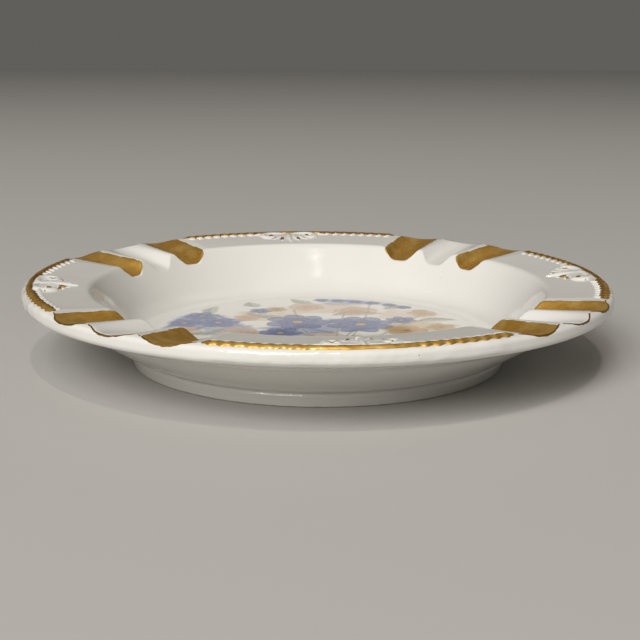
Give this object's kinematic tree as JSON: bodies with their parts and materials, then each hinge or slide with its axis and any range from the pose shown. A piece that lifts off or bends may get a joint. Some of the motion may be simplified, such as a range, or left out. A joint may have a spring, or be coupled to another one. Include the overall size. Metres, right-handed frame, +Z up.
{
  "type": "plate",
  "caption": "Round porcelain souvenir plate on a foot ring, with gilded flutes, relief crests and bead borders on its rim and a printed flower picture in its well.",
  "frame": {"origin": "centre of the foot ring's resting face", "axes": "+Z up along the plate's axis; -Y, +X, +Y and -X through the middles of the four rim panels, the fluted groups lie on the diagonals"},
  "size_m": [0.19, 0.19, 0.0272],
  "materials": {
    "white_glaze": "glossy warm white glaze, bare clay on the foot ring's resting edge",
    "gilding": "brushed-on burnished gold, satin, worn thin on high spots",
    "printed_picture": "fired-on colour print, satin"
  },
  "bodies": {
    "root": {"plate_body": "white_glaze", "foot_ring": "white_glaze", "picture_transfer": "printed_picture", "gilt_flute_front_right_left": "gilding", "gilt_flute_front_right_right": "gilding", "gilt_edge_line_front_right": "gilding", "gilt_flute_back_right_left": "gilding", "gilt_flute_back_right_right": "gilding", "gilt_edge_line_back_right": "gilding", "gilt_flute_back_left_left": "gilding", "gilt_flute_back_left_right": "gilding", "gilt_edge_line_back_left": "gilding", "gilt_flute_front_left_left": "gilding", "gilt_flute_front_left_right": "gilding", "gilt_edge_line_front_left": "gilding", "gilt_band_front": "gilding", "gilt_band_right": "gilding", "gilt_band_back": "gilding", "gilt_band_left": "gilding", "crest_front": "white_glaze", "crest_right": "white_glaze", "crest_back": "white_glaze", "crest_left": "white_glaze", "bead_border_front": "white_glaze", "bead_border_right": "white_glaze", "bead_border_back": "white_glaze", "bead_border_left": "white_glaze"}
  },
  "joints": []
}
